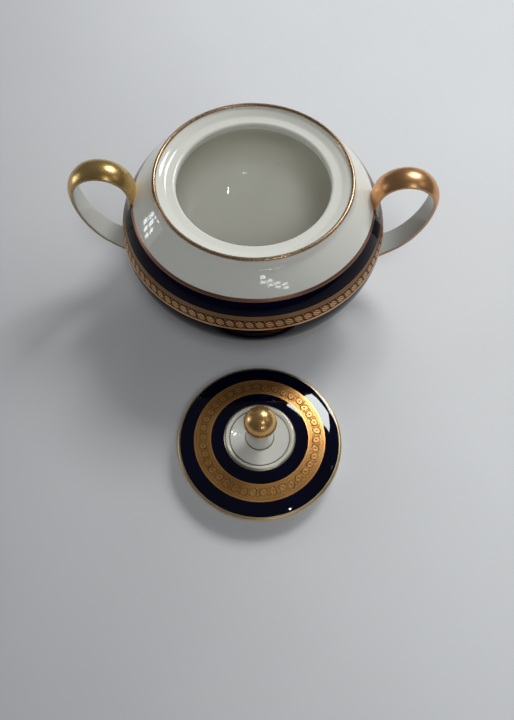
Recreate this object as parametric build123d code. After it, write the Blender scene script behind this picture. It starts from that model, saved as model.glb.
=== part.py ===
from build123d import *
import math
import os

# Porcelain sugar bowl: a squat round bowl on a foot ring, two ribbon handles and a
# loose lid with a ball knob.  The lid lies on the table in front of the bowl.
# Millimetres, +Z up.  The origin is the centre of the foot ring's resting face, the
# handles point along X, and the lid lies towards -Y.

# ---- driving dimensions: bowl ------------------------------------------------------
BELLY_R = 62.5          # widest radius of the body
BELLY_Z = 42.5          # height of the widest part
RIM_Z = 72.2            # top of the rim
RIM_R = 45.8            # outside of the upstanding rim
RIM_LIP = 1.8           # thickness of the rim
RIM_GOLD = 1.0          # depth of the gilding on the rim
COLLAR_TOP_Z = 70.9     # top of the concave collar below the rim
LEDGE_Z = 68.7          # flat ledge that carries the lid
LEDGE_R = 39.4          # outer edge of the ledge
MOUTH_R = 35.3          # clear radius of the mouth
MOUTH_Z = 64.6          # lower edge of the mouth wall
LIP_ROUND = 1.4         # rounding between the ledge and the mouth wall
FLOOR_Z = 6.2           # inside floor at the middle
FOOT_OUT = 38.6         # outer radius of the resting face
FOOT_IN = 36.4          # inner radius of the resting face
FOOT_TOP = 3.6          # height where the foot meets the body
RECESS_Z = 3.0          # underside of the body inside the foot

# heights that divide the outside decoration, from the top down
SHOULDER_LINE_TOP = 57.9
SHOULDER_LINE_LOW = 56.4
ETCHED_TOP = 50.2
ETCHED_LOW = 42.4
GROUND_LOW = 6.4
FOOT_LINE_LOW = 5.0
SKIN = 0.2              # thickness of a fired-on colour or gold layer
SHOULDER_INSIDE_R = 50.0      # the shoulder layers lie wholly outside this radius
BELLY_INSIDE_R = 58.5         # so does the etched band round the belly
LOWER_INSIDE_R = 36.0         # so do the layers below the belly

# ---- driving dimensions: handles ---------------------------------------------------
HANDLE_START = (63.6, 23.6)   # where the lower run leaves the belly
HANDLE_HEADING = 27.0         # its rise there, degrees
HANDLE_ARCS = [(30.0, 25.0), (48.0, 37.0), (13.6, 189.0)]   # radius, turn in degrees
HANDLE_ROOT = 10.0            # straight lower end that runs into the body
HANDLE_TOP_ROOT = 8.0         # straight upper end that runs into the shoulder
HANDLE_WIDTH = 12.1
HANDLE_EDGE = 1.3             # thickness of the ribbon at its edges
HANDLE_CROWN = 2.0            # height of the domed face above the edges

# ---- driving dimensions: lid -------------------------------------------------------
LID_X = 5.75            # where the lid lies on the table
LID_Y = -101.1
LID_R = 37.6            # edge of the lid
LID_SEAT_Z = 6.8        # underside of the edge above the table
LID_EDGE = 2.6          # thickness of the edge
LID_DOME_START_R = 36.8       # where the rounded edge passes into the dome
LID_EDGE_GOLD_R = 36.3  # inner radius of the gilded edge
LID_GOLD_OUT = 29.9
LID_GOLD_IN = 22.1
LID_LINE_OUT = 16.3
LID_LINE_IN = 15.3
LID_FINE_OUT = 13.8
LID_FINE_IN = 13.3
FLANGE_R = 34.4         # locating flange that drops into the mouth
FLANGE_WALL = 2.8
FLANGE_Z = 5.6          # where the flange passes into the underside of the lid
HOLLOW_Z = 9.9          # top of the hollow under the lid
BEAD_TOP = (14.9, 13.5)       # crest of the raised bead round the disc
DISC_Z = 13.0           # top of the lid beside the knob
LID_TOP = 16.0          # above the whole lid, below the ball

# ---- driving dimensions: knob ------------------------------------------------------
BALL_R = 7.3
BALL_Z = 29.4
BALL_GAP = 0.15         # clearance of the ball in its cup
STEM_FOOT_R = 6.7
STEM_NECK_R = 3.9
STEM_NECK_Z = 20.2
CUP_R = 5.7             # upper edge of the gilded collar
CUP_ANGLE = 25.0        # where the cup's arc is drawn through, degrees from the axis


def turned(section):
    """Solid made by turning a section, drawn as (radius, height), round the Z axis."""
    return revolve(Plane.XZ * section, Axis.Z, 360)


def block(low_r, high_r, low_z, high_z):
    """Rectangle between two radii and two heights, for cutting sections."""
    middle = ((low_r + high_r) / 2, (low_z + high_z) / 2)
    return Pos(*middle) * Rectangle(high_r - low_r, high_z - low_z)


def save(solid, name, place=None):
    """Write one piece as its own STEP file, moved to its place first."""
    if place is not None:
        solid = place * solid
    solid.label = name
    export_step(solid, f"parts/{name}.step")


# ---- bowl section ------------------------------------------------------------------
def bowl_outside():
    """Outline from the foot ring up over the belly and shoulder to the rim."""
    foot_side = Polyline(
        (FOOT_OUT, 0), (FOOT_OUT + 0.5, 0.5), (FOOT_OUT + 1.1, FOOT_TOP)
    )
    body = Spline(
        foot_side @ 1,
        (47.8, 10.0),
        (55.7, 20.0),
        (60.8, 30.5),
        (BELLY_R, BELLY_Z),
        (60.3, 50.2),
        (55.8, 57.9),
        (47.7, 67.1),
        tangents=[(1.25, 1.0), (-1.0, 1.0)],
    )
    collar = TangentArc(body @ 1, (RIM_R, COLLAR_TOP_Z), tangent=body % 1)
    return [foot_side, body, collar]


def rim_top():
    """Rounded lip of the rim, from its outer to its inner side."""
    shoulder = RIM_Z - RIM_LIP / 2
    outer = Line((RIM_R, COLLAR_TOP_Z), (RIM_R, shoulder))
    crown = ThreePointArc(
        outer @ 1, (RIM_R - RIM_LIP / 2, RIM_Z), (RIM_R - RIM_LIP, shoulder)
    )
    return [outer, crown]


def bowl_inside():
    """Outline from the rim down the gallery, over the ledge and through the cavity."""
    start = (RIM_R - RIM_LIP, RIM_Z - RIM_LIP / 2)
    gallery = Spline(
        start,
        (41.9, 69.8),
        (LEDGE_R, LEDGE_Z),
        tangents=[(-0.35, -1.0), (-1.0, -0.12)],
    )
    ledge = Line(gallery @ 1, (MOUTH_R + LIP_ROUND, LEDGE_Z))
    lip = TangentArc(ledge @ 1, (MOUTH_R, LEDGE_Z - LIP_ROUND), tangent=(-1, 0))
    mouth = Line(lip @ 1, (MOUTH_R, MOUTH_Z + 1.0))
    under_lip = ThreePointArc(
        mouth @ 1, (MOUTH_R + 0.35, MOUTH_Z + 0.25), (MOUTH_R + 1.2, MOUTH_Z)
    )
    cavity = Spline(
        under_lip @ 1,
        (44.5, 62.6),
        (51.9, 56.6),
        (56.6, 49.2),
        (58.9, 41.5),
        (57.2, 30.6),
        (51.7, 20.0),
        (42.5, 11.5),
        (29.0, 7.4),
        (0, FLOOR_Z),
        tangents=[(1.0, 0.0), (-1.0, 0.0)],
    )
    return [gallery, ledge, lip, mouth, under_lip, cavity]


def bowl_underside():
    """Outline of the recess inside the foot ring and the resting face."""
    return [
        Polyline(
            (0, FLOOR_Z),
            (0, RECESS_Z),
            (FOOT_IN - 1.6, RECESS_Z),
            (FOOT_IN - 0.4, 0.5),
            (FOOT_IN, 0),
            (FOOT_OUT, 0),
        )
    ]


def side_skin(section, low_z, high_z, low_r):
    """Part of a section within SKIN of its outer side, beyond a radius and between heights."""
    skin = section - Pos(-SKIN, 0) * section
    return skin & block(low_r, BELLY_R + 1, low_z, high_z)


def top_skin(section, low_r, high_r, low_z, high_z):
    """Part of a section within SKIN of its upper side, between two radii."""
    skin = section - Pos(0, -SKIN) * section
    return skin & block(low_r, high_r, low_z, high_z)


def bowl_sections():
    """White body and its fired-on layers, as sections that share their edges."""
    whole = make_face(bowl_outside() + rim_top() + bowl_inside() + bowl_underside())
    rim_zone = block(RIM_R - RIM_LIP - 1, RIM_R + 1, RIM_Z - RIM_GOLD, RIM_Z + 1)
    core = block(
        RIM_R - RIM_LIP + SKIN, RIM_R - SKIN, RIM_Z - RIM_GOLD - 1, RIM_Z - 2 * SKIN
    )
    layers = {
        "rim_gilding": (whole & rim_zone) - core,
    }
    bands = [
        ("shoulder_gold_line", SHOULDER_LINE_LOW, SHOULDER_LINE_TOP, SHOULDER_INSIDE_R),
        ("cobalt_band", ETCHED_TOP, SHOULDER_LINE_LOW, SHOULDER_INSIDE_R),
        ("etched_gold_band", ETCHED_LOW, ETCHED_TOP, BELLY_INSIDE_R),
        ("cobalt_ground", GROUND_LOW, ETCHED_LOW, LOWER_INSIDE_R),
        ("foot_gold_line", FOOT_LINE_LOW, GROUND_LOW, LOWER_INSIDE_R),
    ]
    for name, low_z, high_z, inside_r in bands:
        layers[name] = side_skin(whole, low_z, high_z, inside_r)
    white = whole
    for layer in layers.values():
        white = white - layer
    return white, layers


def bowl_filled():
    """Solid of the bowl's outer shape, for trimming what is joined to it."""
    closing = Polyline((RIM_R, COLLAR_TOP_Z), (0, COLLAR_TOP_Z), (0, 0), (FOOT_OUT, 0))
    return turned(make_face(bowl_outside() + [closing]))


# ---- handles -----------------------------------------------------------------------
def handle_path():
    """Loop of the ribbon's outer arris, drawn as (x, z) on the right-hand side."""
    heading = math.radians(HANDLE_HEADING)
    first = Vector(*HANDLE_START)
    forward = Vector(math.cos(heading), math.sin(heading))
    runs = [Line(first - forward * HANDLE_ROOT, first)]
    for radius, turn in HANDLE_ARCS:
        runs.append(JernArc(runs[-1] @ 1, runs[-1] % 1, radius, turn))
    end = runs[-1] @ 1
    runs.append(Line(end, end + (runs[-1] % 1) * HANDLE_TOP_ROOT))
    return Plane.XZ * Wire(runs)


def ribbon_section(grow):
    """Domed ribbon: flat inner face, straight edges and a rounded outer face."""
    half = HANDLE_WIDTH / 2 - SKIN + grow
    crown = HANDLE_CROWN - SKIN + grow
    outer = ThreePointArc((half, 0), (0, crown), (-half, 0))
    sides = Polyline((-half, 0), (-half, -HANDLE_EDGE), (half, -HANDLE_EDGE), (half, 0))
    return make_face([outer, sides])


def swept(section, path):
    """Carry a ribbon section along the loop with its domed face outwards."""
    start = Plane(origin=path @ 0, x_dir=(0, -1, 0), z_dir=path % 0)
    return sweep(start * section, path=path)


def handle_pieces():
    """White ribbon and the gilding over its outer face and edges."""
    path = handle_path()
    filled = bowl_filled()
    porcelain = ribbon_section(0)
    gold = ribbon_section(SKIN) - porcelain
    return swept(porcelain, path) - filled, swept(gold, path) - filled


# ---- lid ---------------------------------------------------------------------------
def lid_section():
    """Whole lid without the knob: gilded edge, low dome, hollow and flange."""
    edge_top = LID_SEAT_Z + LID_EDGE
    edge = ThreePointArc(
        (LID_R - 0.6, LID_SEAT_Z),
        (LID_R, LID_SEAT_Z + LID_EDGE / 2),
        (LID_DOME_START_R, edge_top),
    )
    dome = Spline(
        edge @ 1,
        (LID_EDGE_GOLD_R - 1.6, 9.95),
        (LID_GOLD_OUT, 10.95),
        (LID_GOLD_IN, 12.25),
        (LID_LINE_OUT, 12.85),
        tangents=[(-1.0, 0.08), (-1.0, 0.06)],
    )
    bead = ThreePointArc(dome @ 1, BEAD_TOP, (LID_FINE_OUT, DISC_Z - 0.05))
    disc = Polyline(bead @ 1, (LID_FINE_IN, DISC_Z - 0.1), (0, DISC_Z))
    hollow = Spline(
        (0, HOLLOW_Z),
        (16.0, 9.6),
        (26.0, 8.2),
        (FLANGE_R - FLANGE_WALL, FLANGE_Z),
        tangents=[(1.0, 0.0), (0.8, -1.0)],
    )
    axis = Line(disc @ 1, (0, HOLLOW_Z))
    flange = Polyline(
        hollow @ 1,
        (FLANGE_R - FLANGE_WALL + 0.4, 0.4),
        (FLANGE_R - FLANGE_WALL + 0.9, 0),
        (FLANGE_R - 0.8, 0),
        (FLANGE_R - 0.3, 0.4),
        (FLANGE_R, FLANGE_Z),
        (FLANGE_R + 0.5, LID_SEAT_Z),
        edge @ 0,
    )
    return make_face([edge, dome, bead, disc, axis, hollow, flange])


def lid_sections():
    """White lid and its fired-on layers, as sections that share their edges."""
    whole = lid_section()
    edge_top = LID_SEAT_Z + LID_EDGE
    rim_zone = block(LID_EDGE_GOLD_R, LID_R + 1, LID_SEAT_Z + 0.5, LID_TOP)
    rim_core = block(0, LID_R - 0.5, 0, edge_top - 0.25)
    layers = {
        "lid_edge_gilding": (whole & rim_zone) - rim_core,
    }
    rings = [
        ("lid_outer_cobalt", LID_GOLD_OUT, LID_EDGE_GOLD_R),
        ("lid_etched_gold_band", LID_GOLD_IN, LID_GOLD_OUT),
        ("lid_inner_cobalt", LID_LINE_OUT, LID_GOLD_IN),
        ("lid_inner_gold_line", LID_LINE_IN, LID_LINE_OUT),
        ("lid_fine_gold_line", LID_FINE_IN, LID_FINE_OUT),
    ]
    for name, low_r, high_r in rings:
        layers[name] = top_skin(whole, low_r, high_r, edge_top, LID_TOP)
    white = whole
    for layer in layers.values():
        white = white - layer
    return white, layers


# ---- knob --------------------------------------------------------------------------
def stem_section():
    """Flared stem with a cup at its top that the ball sits in."""
    cup_radius = BALL_R + BALL_GAP
    cup_edge_z = BALL_Z - math.sqrt(cup_radius**2 - CUP_R**2)
    flare = Spline(
        (STEM_FOOT_R, DISC_Z - 0.05),
        (5.6, 14.6),
        (4.3, 17.4),
        (STEM_NECK_R, STEM_NECK_Z),
        (CUP_R, cup_edge_z),
        tangents=[(-0.3, 1.0), (0.6, 1.0)],
    )
    angle = math.radians(CUP_ANGLE)
    cup_middle = (cup_radius * math.sin(angle), BALL_Z - cup_radius * math.cos(angle))
    cup = ThreePointArc(flare @ 1, cup_middle, (0, BALL_Z - cup_radius))
    foot = Polyline(cup @ 1, (0, DISC_Z), (STEM_FOOT_R, DISC_Z - 0.05))
    return make_face([flare, cup, foot])


def stem_sections():
    """White stem, its gilded collar and the fine gold line on its foot."""
    whole = stem_section()
    inside_r = STEM_NECK_R / 2
    collar = (STEM_NECK_Z, BALL_Z)
    line = (DISC_Z + 0.25, DISC_Z + 0.8)
    layers = {
        "knob_collar_gilding": side_skin(whole, *collar, inside_r),
        "knob_base_gold_line": side_skin(whole, *line, inside_r),
    }
    white = whole
    for layer in layers.values():
        white = white - layer
    return white, layers


def main():
    """Build every piece and write it to the parts folder."""
    os.makedirs("parts", exist_ok=True)
    white_bowl, bowl_layers = bowl_sections()
    save(turned(white_bowl), "bowl_body")
    for name, section in bowl_layers.items():
        save(turned(section), name)

    ribbon, gilding = handle_pieces()
    save(ribbon, "handle_right")
    save(gilding, "handle_right_gilding")
    save(mirror(ribbon, about=Plane.YZ), "handle_left")
    save(mirror(gilding, about=Plane.YZ), "handle_left_gilding")

    table_place = Pos(LID_X, LID_Y, 0)
    white_lid, lid_layers = lid_sections()
    white_stem, stem_layers = stem_sections()
    save(turned(white_lid), "lid_body", table_place)
    save(turned(white_stem), "knob_stem", table_place)
    for name, section in {**lid_layers, **stem_layers}.items():
        save(turned(section), name, table_place)
    save(Pos(0, 0, BALL_Z) * Sphere(BALL_R), "knob_ball", table_place)


main()
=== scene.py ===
import math

import bpy
import numpy as np
from mathutils import Matrix, Vector


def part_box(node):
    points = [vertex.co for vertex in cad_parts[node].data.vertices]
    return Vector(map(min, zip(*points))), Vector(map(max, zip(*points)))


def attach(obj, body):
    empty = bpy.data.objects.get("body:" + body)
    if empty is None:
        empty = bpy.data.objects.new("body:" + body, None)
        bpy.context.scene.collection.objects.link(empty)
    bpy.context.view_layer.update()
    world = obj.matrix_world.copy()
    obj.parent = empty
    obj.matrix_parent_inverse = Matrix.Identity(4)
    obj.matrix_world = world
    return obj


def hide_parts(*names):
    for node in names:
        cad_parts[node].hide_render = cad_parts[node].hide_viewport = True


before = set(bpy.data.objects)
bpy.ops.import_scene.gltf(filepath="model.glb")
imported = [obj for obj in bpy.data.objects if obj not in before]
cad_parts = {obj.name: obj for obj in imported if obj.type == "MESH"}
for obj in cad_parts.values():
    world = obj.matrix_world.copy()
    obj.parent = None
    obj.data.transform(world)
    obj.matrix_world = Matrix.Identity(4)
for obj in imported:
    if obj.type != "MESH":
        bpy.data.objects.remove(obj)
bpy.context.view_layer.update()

# The looks of the porcelain sugar bowl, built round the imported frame.  Outlines are drawn in
# millimetres as (radius, height), like the CAD sections, and turned into metres when meshed.
MM = 0.001

# ---- bowl: radii and heights of its outline and decoration ------------------------------
BELLY = (62.5, 42.5)    # the widest point
RIM_Z = 72.2
RIM_R = 45.8
RIM_LIP = 1.8           # thickness of the rim
RIM_GOLD = 1.0          # height of its gilding
COLLAR_TOP_Z = 70.9
LEDGE_Z = 68.7
LEDGE_R = 39.4
MOUTH_R = 35.3
MOUTH_Z = 64.6
FLOOR_Z = 6.2
FOOT_OUT = 38.6
FOOT_IN = 36.4
FOOT_TOP = (FOOT_OUT + 1.1, 3.6)
RECESS_Z = 3.0
SHOULDER_LINE = (56.4, 57.9)
COBALT_BAND = (50.2, 56.4)
ETCHED_BAND = (42.4, 50.2)
COBALT_GROUND = (6.4, 42.4)
FOOT_LINE = (5.0, 6.4)
OVALS = 88              # leaning ovals round the etched band

# ---- handles ----------------------------------------------------------------------------
HANDLE_START = (63.6, 23.6)
HANDLE_HEADING = 27.0   # degrees above level where the ribbon leaves the belly
HANDLE_ARCS = [(30.0, 25.0), (48.0, 37.0), (13.6, 189.0)]   # (radius, degrees)
HANDLE_ROOT = 10.0      # lengths hidden in the body, below and above
HANDLE_TOP_ROOT = 8.0
HANDLE_HALF = 6.05      # half of the ribbon's width
HANDLE_EDGE = 1.3       # thickness of its edge
HANDLE_CROWN = 2.0      # rise of its outer face
HANDLE_BARE = 0.25      # strip of each edge that the gilding leaves white
HANDLE_SINK = 0.05      # how far its gilding reaches into the glaze below
HANDLE_STEP = 0.4       # spacing of the sections along it
BEND_REACH = 15         # sections either side that ease the change from arc to arc
BEND_EASE = 6.0
FLARE = 0.1             # extra width at the roots, and how soon it fades
FLARE_FADE = 2.2

# ---- lid --------------------------------------------------------------------------------
LID_R = 37.6
LID_SEAT_Z = 6.8
LID_EDGE_TOP = 9.4
LID_EDGE_GOLD_R = 36.3  # where the edge's gilding ends on the upper side
LID_ETCHED = (22.1, 29.9)
LID_LINE = (15.3, 16.3)
LID_FINE = (13.3, 13.8)
ROUNDELS = 38           # ringed flowers round the etched band
FLANGE_R = 34.4
FLANGE_WALL = 2.8
DISC_Z = 13.0           # middle of the flat disc under the knob
DISC_EDGE_Z = DISC_Z - 0.05
DISC_SLOPE = 0.004      # its fall per millimetre from the middle
EDGE_STEPS = 20         # steps round the edge's half circle

# ---- knob -------------------------------------------------------------------------------
BALL_R = 7.3
BALL_Z = 29.4
CUP_R = 5.7
CUP_GAP = 0.2           # clearance of the ball in its cup
CUP_MIDDLE = 0.45       # angle, in radians, halfway up the cup
STEM_NECK_Z = 20.2
STEM_LINE = (DISC_Z + 0.25, DISC_Z + 0.8)
STEM_LINE_DEPTH = 0.1
KNOB_STEPS = 160        # steps round its pieces

# ---- how the layers lie -----------------------------------------------------------------
LAYER = 0.15            # depth of a fired-on layer in the porcelain
GILT = 0.05             # how far gilding stands proud of the glaze
THIN_GILT = 0.03        # the same for the rim and the line round the stem
FINE_GILT = 0.02        # the same for the fine line on the lid
TURN_STEPS = 320        # steps round a turned piece
LINE_ROWS = 0.25        # spacing of rows across gilt lines: bowl, lid and stem
LID_LINE_ROWS = 0.12
STEM_LINE_ROWS = 0.1
ETCHED_ROWS = 0.17      # and across the etched bands
LID_ETCHED_ROWS = 0.15
END_GAP = 0.02          # a curve's own points nearer than this to a cut are dropped
SMOOTH_BELOW = 30.0     # degrees; edges that turn more are kept hard
RELIEF_SMOOTH_BELOW = 60.0
ACID_GRAIN = 0.12       # share of the relief that the rough ground takes up
RELIEF_BACK_ROWS = 7    # rows across the plain back of an etched ring

# ---- stage, in metres and degrees -------------------------------------------------------
CAMERA_AT = (0.00361, -0.2382, 0.34185)
CAMERA_PITCH = 61.75
CAMERA_ROLL = 1.49
CAMERA_LENS = 39.1
FLOOR_HALF = 6000.0     # in millimetres, like the pieces
FLOOR_DROP = 0.02
LIGHT_AIM = (0.0, -0.05, 0.03)
LAMP_Z = 2.0
LAMP_RADIANCE = 60.0
PANE_RADIANCE = 9.0
COOL_LIGHT = (0.96, 1.0, 1.0)
WARM_LIGHT = (1.0, 0.9, 0.75)


# ======== curves =========================================================================
def unit(v):
    """Vector of length 1 along v."""
    v = np.array(v, float)
    return v / np.linalg.norm(v)


def spline(points, start, end, step=0.5):
    """Smooth curve through points that leaves along start and arrives along end."""
    p = np.array(points, float)
    gap = np.linalg.norm(np.diff(p, axis=0), axis=1)
    count = len(p)
    matrix = np.eye(count)
    right = np.zeros((count, 2))
    right[0] = unit(start)
    right[-1] = unit(end)
    for i in range(1, count - 1):
        before, after = gap[i - 1], gap[i]
        matrix[i, i - 1:i + 2] = after, 2 * (before + after), before
        right[i] = 3 * (after * (p[i] - p[i - 1]) / before + before * (p[i + 1] - p[i]) / after)
    slope = np.linalg.solve(matrix, right)
    runs = []
    for i in range(count - 1):
        steps = max(2, math.ceil(gap[i] / step))
        t = np.linspace(0, 1, steps, endpoint=False)[:, None]
        runs.append(
            (2 * t**3 - 3 * t**2 + 1) * p[i]
            + (t**3 - 2 * t**2 + t) * gap[i] * slope[i]
            + (3 * t**2 - 2 * t**3) * p[i + 1]
            + (t**3 - t**2) * gap[i] * slope[i + 1]
        )
    return np.concatenate(runs + [p[-1:]])


def arc(first, middle, last, steps=12):
    """Circular arc through three points."""
    a, b, c = (complex(*p) for p in (first, middle, last))
    w = (c - a) / (b - a)
    centre = (b - a) * (w - abs(w) ** 2) / (2j * w.imag) + a
    begin, via, stop = (np.angle(p - centre) for p in (a, b, c))
    sweep = (stop - begin) % (2 * math.pi)
    if (via - begin) % (2 * math.pi) > sweep:
        sweep -= 2 * math.pi
    turn = begin + sweep * np.linspace(0, 1, steps + 1)
    radius = abs(a - centre)
    x = centre.real + radius * np.cos(turn)
    y = centre.imag + radius * np.sin(turn)
    return np.stack([x, y], 1)


def tangent_arc(first, direction, last):
    """Circular arc that leaves first along a direction and ends at last."""
    a = np.array(first, float)
    c = np.array(last, float)
    d = unit(direction)
    normal = np.array([-d[1], d[0]])
    chord = c - a
    radius = chord @ chord / (2 * (normal @ chord))
    centre = a + normal * radius
    middle = centre + unit((a + c) / 2 - centre) * abs(radius)
    return arc(a, middle, c)


def join(*runs):
    """One curve from runs that follow each other, without doubled points."""
    points = [np.array(run, float) for run in runs]
    whole = np.concatenate(points)
    apart = np.linalg.norm(np.diff(whole, axis=0), axis=1) > 1e-6
    return whole[np.concatenate([[True], apart])]


def eased_corner(before, corner, after, size, share, steps):
    """Curve that cuts a corner, starting and ending size away or a share of the shorter side."""
    back, on = before - corner, after - corner
    reach = min(size, np.linalg.norm(back) * share, np.linalg.norm(on) * share)
    enter = corner + unit(back) * reach
    leave = corner + unit(on) * reach
    t = np.linspace(0, 1, steps + 1)[:, None]
    return (1 - t) ** 2 * enter + 2 * t * (1 - t) * corner + t**2 * leave


def rounded(points, size):
    """Straight runs between points, with each corner eased over a short length."""
    p = np.array(points, float)
    corners = zip(p, p[1:], p[2:])
    runs = [eased_corner(*corner, size, share=0.5, steps=4) for corner in corners]
    return np.concatenate([p[:1], *runs, p[-1:]])


def rounded_loop(points, size, straight=15.0):
    """Closed loop with its corners eased; joints that turn fewer degrees are left alone."""
    result = []
    for before, corner, after in zip(np.roll(points, 1, 0), points, np.roll(points, -1, 0)):
        along = np.clip(unit(corner - before) @ unit(after - corner), -1, 1)
        if math.degrees(math.acos(along)) < straight:
            result.append(corner[None])
        else:
            result.append(eased_corner(before, corner, after, size, share=0.49, steps=5))
    return np.concatenate(result)


def normals(curve):
    """Unit normals on the right-hand side of a curve."""
    along = np.gradient(curve, axis=0)
    along /= np.linalg.norm(along, axis=1, keepdims=True)
    return np.stack([along[:, 1], -along[:, 0]], 1)


def offset(curve, distance):
    """Curve moved along its right-hand normals."""
    return curve + normals(curve) * np.reshape(distance, (-1, 1))


def offset_loop(loop, distance, where):
    """Closed loop moved along its normals where a mask says so, outward being positive."""
    ahead = np.roll(loop, -1, axis=0) - np.roll(loop, 1, axis=0)
    ahead /= np.linalg.norm(ahead, axis=1, keepdims=True)
    outward = np.stack([-ahead[:, 1], ahead[:, 0]], 1)
    return loop + outward * (distance * where)[:, None]


def stretch(curve, axis, low, high, step=None):
    """Part of a curve between two values of one coordinate, which it passes only once.

    It keeps the curve's own points, except those almost on an end, or takes even steps.
    """
    key = curve[:, axis]
    if key[0] > key[-1]:
        return stretch(curve[::-1], axis, low, high, step)[::-1]
    other = 1 - axis
    inner = key[(key > low + END_GAP) & (key < high - END_GAP)]
    if step:
        inner = np.linspace(low, high, math.ceil((high - low) / step) + 1)[1:-1]
    places = np.concatenate([[low], inner, [high]])
    part = np.zeros((len(places), 2))
    part[:, axis] = places
    part[:, other] = np.interp(places, key, curve[:, other])
    return part


# ======== outlines =======================================================================
def bowl_side():
    """Outside of the body from the top of the foot to the collar under the rim."""
    body = spline(
        [
            FOOT_TOP, (47.8, 10.0), (55.7, 20.0), (60.8, 30.5), BELLY,
            (60.3, 50.2), (55.8, 57.9), (47.7, 67.1),
        ],
        (1.25, 1.0),
        (-1.0, 1.0),
    )
    collar = tangent_arc(body[-1], (-1.0, 1.0), (RIM_R, COLLAR_TOP_Z))
    return join(body, collar)


def rim_crown():
    """Rounded top of the rim from its outer to its inner side."""
    edge_z = RIM_Z - RIM_LIP / 2
    return arc((RIM_R, edge_z), (RIM_R - RIM_LIP / 2, RIM_Z), (RIM_R - RIM_LIP, edge_z), 20)


def bowl_inside():
    """Gallery, ledge, lip and cavity, from the rim down to the middle of the floor."""
    gallery = spline(
        [(RIM_R - RIM_LIP, RIM_Z - RIM_LIP / 2), (41.9, 69.8), (LEDGE_R, LEDGE_Z)],
        (-0.35, -1.0),
        (-1.0, -0.12),
        0.2,
    )
    lip = arc(
        (MOUTH_R + 1.4, LEDGE_Z),
        (MOUTH_R + 0.41, LEDGE_Z - 0.41),
        (MOUTH_R, LEDGE_Z - 1.4),
    )
    brow = (MOUTH_R + 1.2, MOUTH_Z)
    under = arc((MOUTH_R, MOUTH_Z + 1.0), (MOUTH_R + 0.35, MOUTH_Z + 0.25), brow)
    cavity = spline(
        [
            brow, (44.5, 62.6), (51.9, 56.6), (56.6, 49.2), (58.9, 41.5),
            (57.2, 30.6), (51.7, 20.0), (42.5, 11.5), (29.0, 7.4), (0.0, FLOOR_Z),
        ],
        (1.0, 0.0),
        (-1.0, 0.0),
    )
    return join(gallery, lip, under, cavity)


def bowl_foot():
    """Underside from the middle out to the foot ring and up to the body."""
    return rounded(
        [
            (0.0, RECESS_Z), (FOOT_IN - 1.6, RECESS_Z), (FOOT_IN - 0.4, 0.5), (FOOT_IN, 0.0),
            (FOOT_OUT, 0.0), (FOOT_OUT + 0.5, 0.5), FOOT_TOP,
        ],
        0.3,
    )


def lid_top():
    """Upper side of the lid from its edge to the middle of the disc."""
    edge = arc((LID_R - 0.6, LID_SEAT_Z), (LID_R, 8.1), (LID_R - 0.8, LID_EDGE_TOP), EDGE_STEPS)
    dome = spline(
        [edge[-1], (34.7, 9.95), (29.9, 10.95), (22.1, 12.25), (16.3, 12.85)],
        (-1.0, 0.08),
        (-1.0, 0.06),
        0.4,
    )
    bead = arc(dome[-1], (14.9, 13.5), (LID_FINE[1], DISC_EDGE_Z), 16)
    disc = rounded([bead[-1], (LID_FINE[0], DISC_EDGE_Z), (12.6, DISC_EDGE_Z)], 0.3)
    flat = [(r, DISC_Z - DISC_SLOPE * r) for r in (12.2, 11.5, 9.0, 6.0, 3.0, 0.0)]
    return join(edge, dome, bead, disc, flat)


def lid_underside():
    """Hollow under the lid and its flange, from the middle to the edge."""
    wall_r = FLANGE_R - FLANGE_WALL
    hollow = spline(
        [(0.0, 9.9), (16.0, 9.6), (26.0, 8.2), (wall_r, 5.6)],
        (1.0, 0.0),
        (0.8, -1.0),
    )
    flange = rounded(
        [
            hollow[-1], (wall_r + 0.4, 0.4), (wall_r + 0.9, 0.0),
            (FLANGE_R - 0.8, 0.0), (FLANGE_R - 0.3, 0.4), (FLANGE_R, 5.6),
            (FLANGE_R + 0.5, LID_SEAT_Z), (LID_R - 0.6, LID_SEAT_Z),
        ],
        0.35,
    )
    return join(hollow, flange)


def stem_side():
    """Flared side of the stem from the disc up to the edge of the cup."""
    cup_edge_z = BALL_Z - math.sqrt((BALL_R + CUP_GAP) ** 2 - CUP_R**2)
    return spline(
        [(6.7, DISC_EDGE_Z), (5.6, 14.6), (4.3, 17.4), (3.9, STEM_NECK_Z), (CUP_R, cup_edge_z)],
        (-0.3, 1.0),
        (0.6, 1.0),
        0.2,
    )


def ribbon_outline():
    """Section of the handle, as (across, outward): domed outside, straight edges, flat inside."""
    dome = arc((-HANDLE_HALF, 0.0), (0.0, HANDLE_CROWN), (HANDLE_HALF, 0.0), 24)
    inner = HANDLE_HALF - 0.1
    foot = [(HANDLE_HALF, 0.0), (inner, -HANDLE_EDGE), (-inner, -HANDLE_EDGE)]
    return rounded_loop(join(dome, foot), 0.7)


# ======== meshes =========================================================================
def new_object(name, verts, faces, material, sharp=SMOOTH_BELOW):
    """Smooth-shaded mesh object, with hard edges only where the surface really turns."""
    mesh = bpy.data.meshes.new(name)
    mesh.from_pydata((np.asarray(verts) * MM).tolist(), [], faces)
    mesh.validate()
    mesh.materials.append(material)
    mesh.polygons.foreach_set("use_smooth", np.ones(len(mesh.polygons), bool))
    mesh.set_sharp_from_angle(angle=math.radians(sharp))
    mesh.update()
    thing = bpy.data.objects.new(name, mesh)
    bpy.context.scene.collection.objects.link(thing)
    return thing


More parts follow.
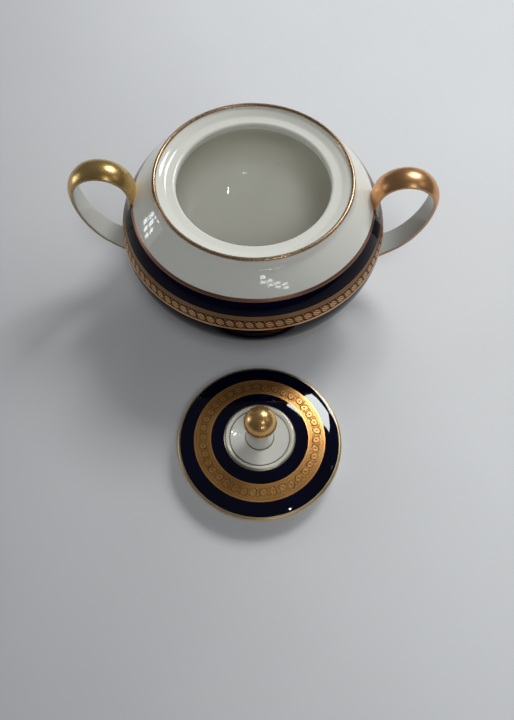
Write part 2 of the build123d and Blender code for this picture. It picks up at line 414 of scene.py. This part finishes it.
def turned(
    name, loop, material, centre=(0.0, 0.0), lift=None, steps=TURN_STEPS, sharp=SMOOTH_BELOW
):
    """Closed mesh made by turning a loop of (radius, height) round an upright axis.

    The loop runs with the solid on its left.  lift, where given, moves the first rows of the
    loop along their normals by an amount for each row and step.
    """
    loop = np.array(loop, float)
    turn = np.linspace(0, 2 * math.pi, steps, endpoint=False)
    radius = np.repeat(loop[:, :1], steps, 1)
    height = np.repeat(loop[:, 1:], steps, 1)
    if lift is not None:
        rows = len(lift)
        out = normals(loop[:rows])
        radius[:rows] += out[:, :1] * lift
        height[:rows] += out[:, 1:] * lift
    on_axis = loop[:, 0] < 1e-6
    verts = []
    index = []
    for row in range(len(loop)):
        start = len(verts)
        if on_axis[row]:
            verts.append((*centre, loop[row, 1]))
            index.append(np.full(steps, start))
            continue
        x = centre[0] + radius[row] * np.cos(turn)
        y = centre[1] + radius[row] * np.sin(turn)
        verts.extend(map(tuple, np.stack([x, y, height[row]], 1)))
        index.append(np.arange(start, start + steps))
    faces = []
    for row in range(len(loop)):
        ahead = (row + 1) % len(loop)
        if on_axis[row] and on_axis[ahead]:
            continue
        below, above = index[row], index[ahead]
        for i in range(steps):
            j = (i + 1) % steps
            corners = (below[i], below[j], above[j], above[i])
            faces.append(list(dict.fromkeys(int(c) for c in corners)))
    return new_object(name, verts, faces, material, sharp)


def skin_loop(face, proud, depth=LAYER):
    """Loop round a thin layer that follows a face and stands proud of it between its ends."""
    t = np.linspace(-1, 1, len(face))
    return np.concatenate([offset(face, proud * (1 - t**8)), offset(face, -depth)[::-1]])


def swept(name, section_at, places, material):
    """Closed mesh that carries a section along places, each an (origin, across, outward) frame."""
    rings = []
    for step, (origin, across, outward) in enumerate(places):
        section = section_at(step)
        rings.append(origin + section[:, :1] * across + section[:, 1:] * outward)
    count = len(rings[0])
    verts = np.concatenate(rings)
    faces = []
    for ring in range(len(rings) - 1):
        for i in range(count):
            j = (i + 1) % count
            a = ring * count
            b = a + count
            faces.append([a + i, a + j, b + j, b + i])
    faces.append(list(range(count))[::-1])
    last = (len(rings) - 1) * count
    faces.append(list(range(last, last + count)))
    return new_object(name, verts, faces, material)


def mirrored(thing, name, material):
    """Copy of an object on the other side of the plane x = 0."""
    mesh = thing.data.copy()
    mesh.name = name
    mesh.transform(Matrix.Scale(-1, 4, (1, 0, 0)))
    mesh.flip_normals()
    mesh.materials.clear()
    mesh.materials.append(material)
    copy = bpy.data.objects.new(name, mesh)
    bpy.context.scene.collection.objects.link(copy)
    return copy


# ======== materials ======================================================================
def new_material(name, colour, roughness, metallic=0.0):
    """New material with one Principled shader; returns it, its node tree and the shader."""
    thing = bpy.data.materials.new(name)
    thing.use_nodes = True
    tree = thing.node_tree
    shader = tree.nodes["Principled BSDF"]
    shader.inputs["Base Color"].default_value = (*colour, 1.0)
    shader.inputs["Roughness"].default_value = roughness
    shader.inputs["Metallic"].default_value = metallic
    return thing, tree, shader


def object_space(tree):
    """Socket with the object's own coordinates, in metres."""
    return tree.nodes.new("ShaderNodeTexCoord").outputs["Object"]


def noise(tree, scale, detail=4.0):
    """Noise in object space, with scale in waves per metre."""
    spot = object_space(tree)
    texture = tree.nodes.new("ShaderNodeTexNoise")
    texture.inputs["Scale"].default_value = scale
    texture.inputs["Detail"].default_value = detail
    tree.links.new(spot, texture.inputs["Vector"])
    return texture.outputs["Fac"]


def spread(tree, value, low, high, from_low=0.3, from_high=0.7):
    """Value remapped to run between two numbers."""
    node = tree.nodes.new("ShaderNodeMapRange")
    node.inputs["From Min"].default_value = from_low
    node.inputs["From Max"].default_value = from_high
    node.inputs["To Min"].default_value = low
    node.inputs["To Max"].default_value = high
    tree.links.new(value, node.inputs["Value"])
    return node.outputs["Result"]


def blend_colours(tree, value, first, second):
    """Colour between first and second as value runs from 0 to 1; each may be a socket."""
    node = tree.nodes.new("ShaderNodeMix")
    node.data_type = "RGBA"
    tree.links.new(value, node.inputs["Factor"])
    for name, colour in (("A", first), ("B", second)):
        socket = [s for s in node.inputs if s.name == name and s.type == "RGBA"][0]
        if isinstance(colour, tuple):
            socket.default_value = (*colour, 1.0)
        else:
            tree.links.new(colour, socket)
    return [s for s in node.outputs if s.type == "RGBA"][0]


def bump(tree, shader, value, distance, after=None):
    """Bump of a given depth in metres, optionally stacked on an earlier one."""
    node = tree.nodes.new("ShaderNodeBump")
    node.inputs["Strength"].default_value = 1.0
    node.inputs["Distance"].default_value = distance
    tree.links.new(value, node.inputs["Height"])
    if after is not None:
        tree.links.new(after.outputs["Normal"], node.inputs["Normal"])
    tree.links.new(node.outputs["Normal"], shader.inputs["Normal"])
    return node


def porcelain(name, white, wave=0.00005):
    """Cool white hard porcelain, more or less bright, under a glossy glaze with a faint ripple;
    dimmer copies carry painted shade.
    """
    def shade(r, g, b):
        return (r * white, g * white, b * white)

    thing, tree, shader = new_material(name, shade(0.88, 0.865, 0.79), 0.05)
    tint = spread(tree, noise(tree, 28.0, 3.0), 0.0, 1.0)
    colour = blend_colours(tree, tint, shade(0.865, 0.85, 0.775), shade(0.895, 0.88, 0.81))
    specks = tree.nodes.new("ShaderNodeTexVoronoi")
    specks.inputs["Scale"].default_value = 70.0
    tree.links.new(object_space(tree), specks.inputs["Vector"])
    speck = spread(tree, specks.outputs["Distance"], 1.0, 0.0, 0.012, 0.03)
    colour = blend_colours(tree, speck, colour, (0.42, 0.39, 0.34))
    tree.links.new(colour, shader.inputs["Base Color"])
    tree.links.new(spread(tree, noise(tree, 90.0), 0.02, 0.07), shader.inputs["Roughness"])
    swell = bump(tree, shader, noise(tree, 70.0, 2.0), wave)
    bump(tree, shader, noise(tree, 420.0, 0.0), 0.000005, after=swell)
    return thing


def cobalt(name, shine):
    """Deep cobalt glaze, almost black, of uneven depth, with shine as its specular level."""
    thing, tree, shader = new_material(name, (0.001, 0.001, 0.01), 0.06)
    shader.inputs["Specular IOR Level"].default_value = shine
    depth = spread(tree, noise(tree, 60.0, 5.0), 0.0, 1.0)
    colour = blend_colours(tree, depth, (0.0006, 0.0006, 0.004), (0.0015, 0.0016, 0.014))
    tree.links.new(colour, shader.inputs["Base Color"])
    tree.links.new(spread(tree, noise(tree, 160.0), 0.02, 0.05), shader.inputs["Roughness"])
    wave = bump(tree, shader, noise(tree, 50.0, 2.0), 0.00008)
    bump(tree, shader, noise(tree, 500.0, 3.0), 0.000003, after=wave)
    return thing


def gilding(name, light, dark, rough, ripple):
    """Burnished gold film: warm tone that wanders, fine rub marks and a soft ripple."""
    thing, tree, shader = new_material(name, light, 0.2, metallic=0.85)
    cloud = spread(tree, noise(tree, 75.0, 5.0), 0.0, 1.0)
    grain = spread(tree, noise(tree, 900.0, 4.0), 0.0, 1.0)
    colour = blend_colours(tree, cloud, dark, light)
    worn = tuple(c * 0.9 for c in dark)
    colour = blend_colours(tree, spread(tree, grain, 0.0, 0.35, 0.0, 1.0), colour, worn)
    tree.links.new(colour, shader.inputs["Base Color"])
    tree.links.new(spread(tree, grain, *rough, 0.0, 1.0), shader.inputs["Roughness"])
    wave = bump(tree, shader, noise(tree, 120.0, 2.0), ripple)
    bump(tree, shader, noise(tree, 1500.0, 3.0), 0.0000012, after=wave)
    return thing


def etched_gold(name, light, dark):
    """Gold on an etched ground: bright where the relief attribute is high, dark and matt below;
    the dark is partly the etched pattern and partly painted shade in its hollows.
    """
    thing, tree, shader = new_material(name, light, 0.3, metallic=0.78)
    relief = tree.nodes.new("ShaderNodeAttribute")
    relief.attribute_name = "relief"
    height = relief.outputs["Fac"]
    cloud = spread(tree, noise(tree, 90.0, 5.0), 0.0, 1.0)
    tone = blend_colours(tree, cloud, dark, light)
    # near-black ground: partly the pattern's dark parts, partly painted shade in the etched
    # hollows
    ground = tuple(c * 0.05 for c in dark)
    tree.links.new(blend_colours(tree, height, ground, tone), shader.inputs["Base Color"])
    tree.links.new(spread(tree, height, 0.5, 0.33, 0.0, 1.0), shader.inputs["Roughness"])
    bump(tree, shader, noise(tree, 2600.0, 3.0), 0.00002)
    return thing


def table_top():
    """Pale matt laminate with faint cloudy marks, greyer towards its left side, where a painted
    shadow darkens it.
    """
    thing, tree, shader = new_material("pale_table", (0.86, 0.85, 0.88), 0.6)
    cloud = spread(tree, noise(tree, 7.0, 6.0), 0.0, 1.0)
    pale = blend_colours(tree, cloud, (0.80, 0.79, 0.81), (0.84, 0.83, 0.85))
    painted_shadow_grey = blend_colours(tree, cloud, (0.45, 0.44, 0.46), (0.49, 0.48, 0.50))
    # painted shadow: the grey mix darkens the table towards its left and near side
    split = tree.nodes.new("ShaderNodeSeparateXYZ")
    tree.links.new(object_space(tree), split.inputs["Vector"])
    half_y = spread(tree, split.outputs["Y"], -0.5, 0.5, -1.0, 1.0)
    across = tree.nodes.new("ShaderNodeMath")
    across.operation = "ADD"
    tree.links.new(split.outputs["X"], across.inputs[0])
    tree.links.new(half_y, across.inputs[1])
    lean = spread(tree, across.outputs["Value"], 0.0, 1.0, -0.24, 0.06)
    colour = blend_colours(tree, lean, painted_shadow_grey, pale)
    tree.links.new(colour, shader.inputs["Base Color"])
    bump(tree, shader, noise(tree, 300.0, 4.0), 0.00005)
    return thing


# ======== etched relief ==================================================================
def smooth_step(value, low, high):
    """0 at low and 1 at high, eased between; low may be the larger of the two."""
    t = np.clip((value - low) / (high - low), 0, 1)
    return t * t * (3 - 2 * t)


def ridge(distance, width):
    """Rounded ridge of a given width about the line where distance is 0."""
    return smooth_step(np.abs(distance), width / 2, width / 6)


def wander(cell, salt):
    """Fixed number from -1 to 1 for each cell, so that hand-cut figures differ a little."""
    return np.sin(cell * 12.9898 + salt) * 43.7 % 2 - 1


def garland(cell, x, v, pitch):
    """Row of leaning ovals filled with slanted strokes, as relief height and brightness."""
    lean = x + 0.25 * v
    size = np.hypot(lean / (pitch * 0.465), v / 1.95)
    body = smooth_step(size, 1.0, 0.86)
    core = smooth_step(size, 0.86, 0.72)
    strokes = 0.5 + 0.5 * np.cos(2 * math.pi * (v + 0.55 * lean + 0.2 * wander(cell, 1)) / 1.5)
    bud = smooth_step(np.hypot(np.abs(x) - pitch / 2, np.abs(v) - 1.75), 0.5, 0.3)
    height = np.maximum(body * (1 - 0.5 * core * (1 - strokes)), 0.7 * bud)
    tone = np.maximum(body * (0.5 + core * (0.5 * strokes - 0.38 * (1 - strokes))), 0.4 * bud)
    return height, tone


def roundels(cell, x, v, pitch):
    """Row of ringed flowers with curls and sprigs between them, as height and brightness."""
    x = x + 0.3 * wander(cell, 2)
    y = v + 0.4 * wander(cell, 3)
    turn = np.arctan2(y, x) + 2 * wander(cell, 4)
    size = np.hypot(x / 1.7, y / 1.9) * (1 + 0.12 * np.sin(2 * turn))
    ring = ridge(size - 0.92, 0.3) * (0.7 + 0.3 * np.sin(turn))
    petals = smooth_step(size, 0.76, 0.62) * (0.5 + 0.5 * np.cos(5 * turn + 3 * size))
    eye = smooth_step(size, 0.3, 0.16)
    hook = ridge(np.hypot(np.abs(x) - pitch / 2, np.abs(y) - 1.3) - 0.55, 0.36)
    sprig = ridge(np.abs(y) - 2.35 - 0.35 * np.sin(2.9 * x + wander(cell, 5)), 0.3)
    dark = np.maximum.reduce([ring, 0.9 * eye, 0.7 * hook])
    edge = smooth_step(np.abs(v), 3.25, 3.4)
    light = np.maximum(np.maximum(petals, sprig), edge)
    return 1 - 0.8 * dark, np.clip(0.6 + 0.4 * light - 0.5 * dark, 0, 1)


def round_ring(pattern, count, face):
    """Pattern set out a whole number of times round a ring."""
    pitch = 2 * math.pi * np.mean(face[:, 0]) / count

    def at(turn, v):
        spot = turn / (2 * math.pi) * count + 0.5
        return pattern(np.floor(spot) % count, (spot % 1 - 0.5) * pitch, v, pitch)

    return at


def stipple(shape, seed):
    """Fine uneven ground left by the acid."""
    return np.random.default_rng(seed).random(shape)


def etched(name, face, centre, pattern, border, tones, steps, shader, depth, seed):
    """Gilt ring with an etched frieze between two plain borders; returns the object.

    border gives the widths of the first and last plain strips, and tones how bright they are.
    """
    along = np.concatenate([[0], np.cumsum(np.linalg.norm(np.diff(face, axis=0), axis=1))])
    middle = (border[0] + along[-1] - border[1]) / 2
    v = (along - middle)[:, None]
    turn = np.linspace(0, 2 * math.pi, steps, endpoint=False)[None, :]
    height, bright = pattern(turn, v)
    bottom = border[0] - middle
    top = along[-1] - border[1] - middle
    after = smooth_step(v, bottom - 0.05, bottom + 0.15)
    before = smooth_step(-v, -top - 0.05, -top + 0.15)
    frieze = after * before
    ground = ACID_GRAIN * stipple(height.shape, seed)
    pressed = np.clip(height + ground, 0, 1)
    lift = depth * frieze * (pressed - 1) + GILT
    kept_rows = np.linspace(len(face) - 1, 0, RELIEF_BACK_ROWS).astype(int)
    loop = np.concatenate([face, offset(face, -LAYER - depth)[kept_rows]])
    ring = turned(name, loop, shader, centre, lift, steps, RELIEF_SMOOTH_BELOW)
    shade = frieze * bright + (1 - after) * tones[0] + (1 - before) * tones[1]
    relief = np.full(len(ring.data.vertices), tones[0], np.float32)
    relief[:shade.size] = shade.ravel()
    layer = ring.data.attributes.new("relief", "FLOAT", "POINT")
    layer.data.foreach_set("value", relief)
    return ring


# ======== pieces =========================================================================
def place(thing, body, slot, *nodes):
    """Ride on a body and stand for CAD nodes; slot is not used."""
    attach(thing, body)
    if nodes:
        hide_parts(*nodes)


def build_bowl(white, blue, rim_gold, line_gold, band_gold):
    """Porcelain body with its rim gilding, cobalt, gold lines and etched band."""
    side = bowl_side()
    gold_low = RIM_Z - RIM_GOLD
    recess = offset(stretch(side, 1, FOOT_LINE[0], SHOULDER_LINE[1]), -LAYER)
    crown = rim_crown()
    inside = bowl_inside()
    highest = inside[3::-1]
    inner_gold_r = np.interp(gold_low, highest[:, 1], highest[:, 0])
    loop = join(
        bowl_foot(),
        stretch(side, 1, FOOT_TOP[1], FOOT_LINE[0]),
        recess,
        stretch(side, 1, SHOULDER_LINE[1], COLLAR_TOP_Z),
        [(RIM_R, gold_low)],
        offset(crown, -LAYER),
        [(inner_gold_r, gold_low)],
        inside[1:],
    )
    place(turned("bowl_porcelain", loop, white), "bowl", "porcelain", "bowl_body")

    rim_face = join([(RIM_R, gold_low)], crown, [(inner_gold_r, gold_low)])
    rim = turned("rim_gilding_film", skin_loop(rim_face, THIN_GILT), rim_gold)
    place(rim, "bowl", "polished_gold", "rim_gilding")

    lines = (line_gold, GILT, "polished_gold")
    grounds = (blue, 0.0, "cobalt_glaze")
    films = [
        ("shoulder_line_film", SHOULDER_LINE, *lines, "shoulder_gold_line"),
        ("cobalt_band_film", COBALT_BAND, *grounds, "cobalt_band"),
        ("cobalt_ground_film", COBALT_GROUND, *grounds, "cobalt_ground"),
        ("foot_line_film", FOOT_LINE, *lines, "foot_gold_line"),
    ]
    for name, heights, shader, proud, slot, node in films:
        face = stretch(side, 1, *heights, LINE_ROWS if proud else None)
        place(turned(name, skin_loop(face, proud), shader), "bowl", slot, node)

    face = stretch(side, 1, *ETCHED_BAND, ETCHED_ROWS)
    ring = etched(
        "etched_band_film", face, (0, 0), round_ring(garland, OVALS, face), border=(0.9, 2.3),
        tones=(0.95, 0.28), steps=2200, shader=band_gold, depth=0.16, seed=1,
    )
    place(ring, "bowl", "etched_gold", "etched_gold_band")


def handle_places():
    """Frames along the ribbon on the right-hand side, from the lower root to the upper one."""
    runs = [(0.0, HANDLE_ROOT)]
    for radius, turn in HANDLE_ARCS:
        runs.append((1 / radius, radius * math.radians(turn)))
    runs.append((0.0, HANDLE_TOP_ROOT))
    bend = np.concatenate([np.full(round(length / HANDLE_STEP), k) for k, length in runs])
    reach = np.arange(-BEND_REACH, BEND_REACH + 1)
    weight = np.exp(-0.5 * (reach / BEND_EASE) ** 2)
    eased = np.convolve(np.pad(bend, BEND_REACH), weight / weight.sum(), "valid")
    slant = math.radians(HANDLE_HEADING) + np.cumsum(eased) * HANDLE_STEP
    along = np.stack([np.cos(slant), np.sin(slant)], 1) * HANDLE_STEP
    start = np.array(HANDLE_START) - HANDLE_ROOT * unit((math.cos(slant[0]), math.sin(slant[0])))
    line = start + np.cumsum(along, axis=0)
    frames = []
    for (x, z), angle in zip(line, slant):
        origin = np.array([x, 0.0, z])
        outward = np.array([math.sin(angle), 0.0, -math.cos(angle)])
        frames.append((origin, np.array([0.0, 1.0, 0.0]), outward))
    return frames


def build_handles(white, gold_right, gold_left):
    """Ribbon and gilding of the right-hand handle, and their copies on the left."""
    frames = handle_places()
    last = len(frames) - 1
    whole = ribbon_outline()
    gilded = whole[:, 1] > -HANDLE_EDGE + HANDLE_BARE

    def flare(step):
        low, high = step * HANDLE_STEP, (last - step) * HANDLE_STEP
        from_body = max(min(low - HANDLE_ROOT, high - HANDLE_TOP_ROOT), 0.0)
        return 1 + FLARE * math.exp(-from_body / FLARE_FADE)

    white_loop = offset_loop(whole, -LAYER, gilded)
    film = whole[gilded]
    film_loop = np.concatenate([film, offset(film, LAYER + HANDLE_SINK)[::-1]])
    ribbon = swept("handle_right_ribbon", lambda s: white_loop * flare(s), frames, white)
    gilt = swept("handle_right_film", lambda s: film_loop * flare(s), frames, gold_right)
    left_ribbon = mirrored(ribbon, "handle_left_ribbon", white)
    left_gilt = mirrored(gilt, "handle_left_film", gold_left)
    place(ribbon, "bowl", "porcelain", "handle_right")
    place(gilt, "bowl", "polished_gold", "handle_right_gilding")
    place(left_ribbon, "bowl", "porcelain", "handle_left")
    place(left_gilt, "bowl", "polished_gold", "handle_left_gilding")


def build_lid(white, blue, edge_gold, pale_gold, fine_gold, band_gold):
    """Lid with its gilded edge, cobalt rings, gold lines and etched band; returns its centre."""
    low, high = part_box("lid_body")
    centre = ((low.x + high.x) / 2 / MM, (low.y + high.y) / 2 / MM)
    top = lid_top()
    edge, rest = top[:EDGE_STEPS + 1], top[EDGE_STEPS:]
    loop = join(
        lid_underside(),
        offset(edge, -LAYER),
        offset(stretch(rest, 0, LID_FINE[0], LID_EDGE_GOLD_R), -LAYER),
        stretch(rest, 0, 0.0, LID_FINE[0]),
    )
    place(turned("lid_porcelain", loop, white, centre), "lid", "porcelain", "lid_body")

    edge_face = join(edge, stretch(rest, 0, LID_EDGE_GOLD_R, edge[-1][0]))
    ring = turned("lid_edge_film", skin_loop(edge_face, GILT), edge_gold, centre)
    place(ring, "lid", "polished_gold", "lid_edge_gilding")

    outer = (LID_ETCHED[1], LID_EDGE_GOLD_R)
    inner = (LID_LINE[1], LID_ETCHED[0])
    bead = (LID_FINE[1], LID_LINE[0])
    grounds = (blue, 0.0, "cobalt_glaze")
    gilt = "polished_gold"
    films = [
        ("lid_outer_cobalt_film", outer, *grounds, "lid_outer_cobalt"),
        ("lid_inner_cobalt_film", inner, *grounds, "lid_inner_cobalt"),
        ("lid_inner_line_film", LID_LINE, pale_gold, GILT, gilt, "lid_inner_gold_line"),
        ("lid_bead_glaze", bead, white, 0.0, "porcelain"),
        ("lid_fine_line_film", LID_FINE, fine_gold, FINE_GILT, gilt, "lid_fine_gold_line"),
    ]
    for name, radii, shader, proud, slot, *node in films:
        face = stretch(rest, 0, *radii, LID_LINE_ROWS if proud else None)
        place(turned(name, skin_loop(face, proud), shader, centre), "lid", slot, *node)

    face = stretch(rest, 0, *LID_ETCHED, LID_ETCHED_ROWS)
    ring = etched(
        "lid_etched_film", face, centre, round_ring(roundels, ROUNDELS, face), border=(0.3, 0.3),
        tones=(0.95, 0.95), steps=1400, shader=band_gold, depth=0.12, seed=2,
    )
    place(ring, "lid", "etched_gold", "lid_etched_gold_band")
    return centre


def build_knob(centre, white, gold, fine_gold):
    """Stem with its fine line and gilded collar, and the ball in its cup."""
    side = stem_side()
    hollow = BALL_R + CUP_GAP
    cup = arc(
        side[-1],
        (hollow * math.sin(CUP_MIDDLE), BALL_Z - hollow * math.cos(CUP_MIDDLE)),
        (0.0, BALL_Z - hollow),
    )
    collar = stretch(side, 1, STEM_NECK_Z, side[-1][1])
    line = stretch(side, 1, *STEM_LINE, STEM_LINE_ROWS)
    loop = join(
        [(0.0, DISC_Z - 0.3)],
        stretch(side, 1, side[0][1], line[0][1]),
        offset(line, -STEM_LINE_DEPTH),
        stretch(side, 1, line[-1][1], STEM_NECK_Z),
        offset(collar, -LAYER),
        cup[1:],
    )
    line_loop = skin_loop(line, THIN_GILT, STEM_LINE_DEPTH)
    ball = arc((0.0, BALL_Z - BALL_R), (BALL_R, BALL_Z), (0.0, BALL_Z + BALL_R), 96)
    ball[[0, -1], 0] = 0.0
    gilt = "polished_gold"
    pieces = [
        ("knob_stem_porcelain", loop, white, "lid", "porcelain", "knob_stem"),
        ("knob_base_line_film", line_loop, fine_gold, "lid", gilt, "knob_base_gold_line"),
        ("knob_collar_film", skin_loop(collar, GILT), gold, "lid", gilt, "knob_collar_gilding"),
        ("knob_ball_gilt", ball, gold, "knob_link", gilt, "knob_ball"),
    ]
    for name, outline, shader, body, slot, node in pieces:
        piece = turned(name, outline, shader, centre, steps=KNOB_STEPS)
        place(piece, body, slot, node)


# ======== stage ==========================================================================
def build_camera():
    """Camera above and in front of the lid, looking down at the bowl, with a slight roll."""
    pitch = math.radians(CAMERA_PITCH)
    roll = math.radians(CAMERA_ROLL)
    forward = Vector((0, math.cos(pitch), -math.sin(pitch)))
    level_right = Vector((1, 0, 0))
    level_up = level_right.cross(forward)
    right = level_right * math.cos(roll) + level_up * math.sin(roll)
    up = level_up * math.cos(roll) - level_right * math.sin(roll)
    turn = Matrix((right, up, -forward)).transposed().to_4x4()
    data = bpy.data.cameras.new("view")
    data.lens = CAMERA_LENS
    data.sensor_width = 36.0
    data.clip_start = 0.01
    camera = bpy.data.objects.new("view", data)
    camera.matrix_world = Matrix.Translation(CAMERA_AT) @ turn
    bpy.context.scene.collection.objects.link(camera)
    bpy.context.scene.camera = camera
    bpy.context.scene.view_settings.view_transform = "Standard"


def heading(azimuth, elevation, distance):
    """Point seen from the object in a compass direction; azimuth 0 is +Y and 90 is +X."""
    a, e = math.radians(azimuth), math.radians(elevation)
    across = math.cos(e) * distance
    return Vector((math.sin(a) * across, math.cos(a) * across, math.sin(e) * distance))


def light_panel(name, pose, size, radiance, colour, diffuse=True, glossy=True):
    """Rectangular area light of a given size and brightness, facing down its own -Z axis."""
    data = bpy.data.lights.new(name, "AREA")
    data.shape = "RECTANGLE"
    data.size, data.size_y = size
    data.energy = math.pi * data.size * data.size_y * radiance
    data.color = colour
    lamp = bpy.data.objects.new(name, data)
    lamp.matrix_world = pose
    lamp.visible_diffuse = diffuse
    lamp.visible_glossy = glossy
    bpy.context.scene.collection.objects.link(lamp)


def soft_light(name, at, span, radiance, colour=COOL_LIGHT, **seen):
    """Soft box facing the object, sized by the angles it spans as seen from there."""
    size = [2 * at.length * math.tan(math.radians(a / 2)) for a in span]
    turn = (Vector(LIGHT_AIM) - at).to_track_quat("-Z", "Y").to_matrix().to_4x4()
    light_panel(name, Matrix.Translation(at) @ turn, size, radiance, colour, **seen)


def rail_lamp(name, start, end, width):
    """Thin lamp hanging level between two points of the plan, seen only in the glaze."""
    begin, stop = Vector((*start, LAMP_Z)), Vector((*end, LAMP_Z))
    run = math.atan2(stop.y - begin.y, stop.x - begin.x)
    pose = Matrix.Translation((begin + stop) / 2) @ Matrix.Rotation(run, 4, "Z")
    size = ((stop - begin).length, width)
    light_panel(name, pose, size, LAMP_RADIANCE, COOL_LIGHT, diffuse=False)


def panes(name, azimuth, elevation, distance, count, pane, pitch, slope):
    """Grid of window panes with dark bars between them, seen only in the glaze.

    pane and pitch are angles across and up, and slope lifts each column by a share of how far
    aside it lies.
    """
    across, up = count
    for i in range(across):
        for k in range(up):
            aside = (i - (across - 1) / 2) * pitch[0]
            above = (k - (up - 1) / 2) * pitch[1] + aside * slope
            at = heading(azimuth + aside, elevation + above, distance)
            soft_light(f"{name}_{i}_{k}", at, pane, PANE_RADIANCE, diffuse=False)


def build_world():
    """Very dim room round the lit windows."""
    world = bpy.data.worlds.new("room")
    world.use_nodes = True
    background = world.node_tree.nodes["Background"]
    background.inputs["Color"].default_value = (0.9, 0.95, 1.0, 1.0)
    background.inputs["Strength"].default_value = 0.05
    bpy.context.scene.world = world


def build_floor():
    """Table far wider than the view, a hair under the foot ring and the lid."""
    half, low = FLOOR_HALF, -FLOOR_DROP
    corners = [(-half, -half, low), (half, -half, low), (half, half, low), (-half, half, low)]
    new_object("floor", corners, [[0, 1, 2, 3]], table_top())


def build_lights():
    """Daylight from windows and pale walls, a warm doorway, and what only the glaze mirrors."""
    soft_light("window", heading(33, 47, 1.8), (18, 17), 14.5)
    soft_light("window_right", heading(56, 38, 2.2), (16, 20), 2.2, glossy=False)
    soft_light("far_window", heading(2, 35, 2.2), (22, 16), 2.4, glossy=False)
    soft_light("bright_wall", heading(28, 40, 2.6), (76, 46), 0.4, glossy=False)
    soft_light("back_light", heading(168, 60, 2.4), (12, 24), 7.9, glossy=False)
    soft_light("side_window", heading(-80, 11, 2.5), (20, 24), 0.9)
    soft_light("side_wall", heading(-62, 27, 2.7), (40, 34), 0.5, glossy=False)
    soft_light("door", heading(90, 45, 2.5), (14, 12), 1.0, WARM_LIGHT)
    rail_lamp("lamp_a", (0.86, -1.28), (0.64, -0.66), width=0.03)
    rail_lamp("lamp_b", (0.02, 0.575), (0.048, 0.60), width=0.004)
    rail_lamp("lamp_c", (-0.095, 0.725), (-0.07, 0.745), width=0.004)
    panes(
        "back_panes", 161, 27, 2.5, count=(4, 2), pane=(4.4, 1.7), pitch=(6.0, 3.0), slope=0.42
    )
    panes("side_panes", -79, 5, 2.5, count=(3, 2), pane=(2.6, 3.6), pitch=(4.4, 5.0), slope=0.0)


def gold_films():
    """The burnished gildings by name, each with its own tone; the darkened line tone and the split
    between the two handle tones are painted reflection.
    """
    recipes = [
        ("burnished_gold", (0.96, 0.60, 0.25), (0.74, 0.43, 0.15), (0.24, 0.31), 0.000004),
        ("rim_gold", (0.66, 0.45, 0.28), (0.44, 0.27, 0.16), (0.24, 0.34), 0.000004),
        ("lid_edge_gold", (0.80, 0.62, 0.37), (0.50, 0.36, 0.19), (0.32, 0.42), 0.000004),
        # gold_line is darkened to red-brown for the shoulder and foot lines: painted dark
        # reflection
        ("gold_line", (0.42, 0.21, 0.14), (0.32, 0.15, 0.10), (0.3, 0.45), 0.00001),
        ("fine_gold", (0.30, 0.23, 0.15), (0.22, 0.16, 0.10), (0.3, 0.4), 0.00001),
        ("pale_gold", (0.76, 0.68, 0.52), (0.58, 0.50, 0.36), (0.3, 0.4), 0.000003),
        # one gilding on both handles, toned apart for each side: painted reflection
        ("handle_gold_left", (0.86, 0.60, 0.27), (0.62, 0.39, 0.13), (0.26, 0.32), 0.000008),
        ("handle_gold_right", (0.92, 0.50, 0.23), (0.66, 0.32, 0.13), (0.28, 0.34), 0.000008),
    ]
    return {recipe[0]: gilding(*recipe) for recipe in recipes}


def main():
    build_camera()
    white = porcelain("porcelain", 0.96)
    # the lid, its bead and the knob take a darker copy of the same porcelain: painted shade
    lid_white_painted_shade = porcelain("lid_porcelain_painted_shade", 0.78, wave=0.00001)
    # the handles take a darker copy of the same porcelain: painted shade on their ribbons
    handle_white_painted_shade = porcelain("handle_porcelain_painted_shade", 0.74)
    blue = cobalt("cobalt_glaze", 0.62)
    deep_blue = cobalt("cobalt_ground_glaze", 0.12)
    gold = gold_films()
    fine_gold = gold["fine_gold"]
    band_gold = etched_gold("etched_gold_bowl", (1.0, 0.58, 0.28), (0.84, 0.44, 0.20))
    lid_gold = etched_gold("etched_gold_lid", (0.94, 0.48, 0.15), (0.78, 0.36, 0.10))
    build_bowl(white, deep_blue, gold["rim_gold"], gold["gold_line"], band_gold)
    build_handles(handle_white_painted_shade, gold["handle_gold_right"], gold["handle_gold_left"])
    centre = build_lid(
        lid_white_painted_shade, blue, gold["lid_edge_gold"], gold["pale_gold"], fine_gold, lid_gold
    )
    build_knob(centre, lid_white_painted_shade, gold["burnished_gold"], fine_gold)
    build_floor()
    build_world()
    build_lights()


main()
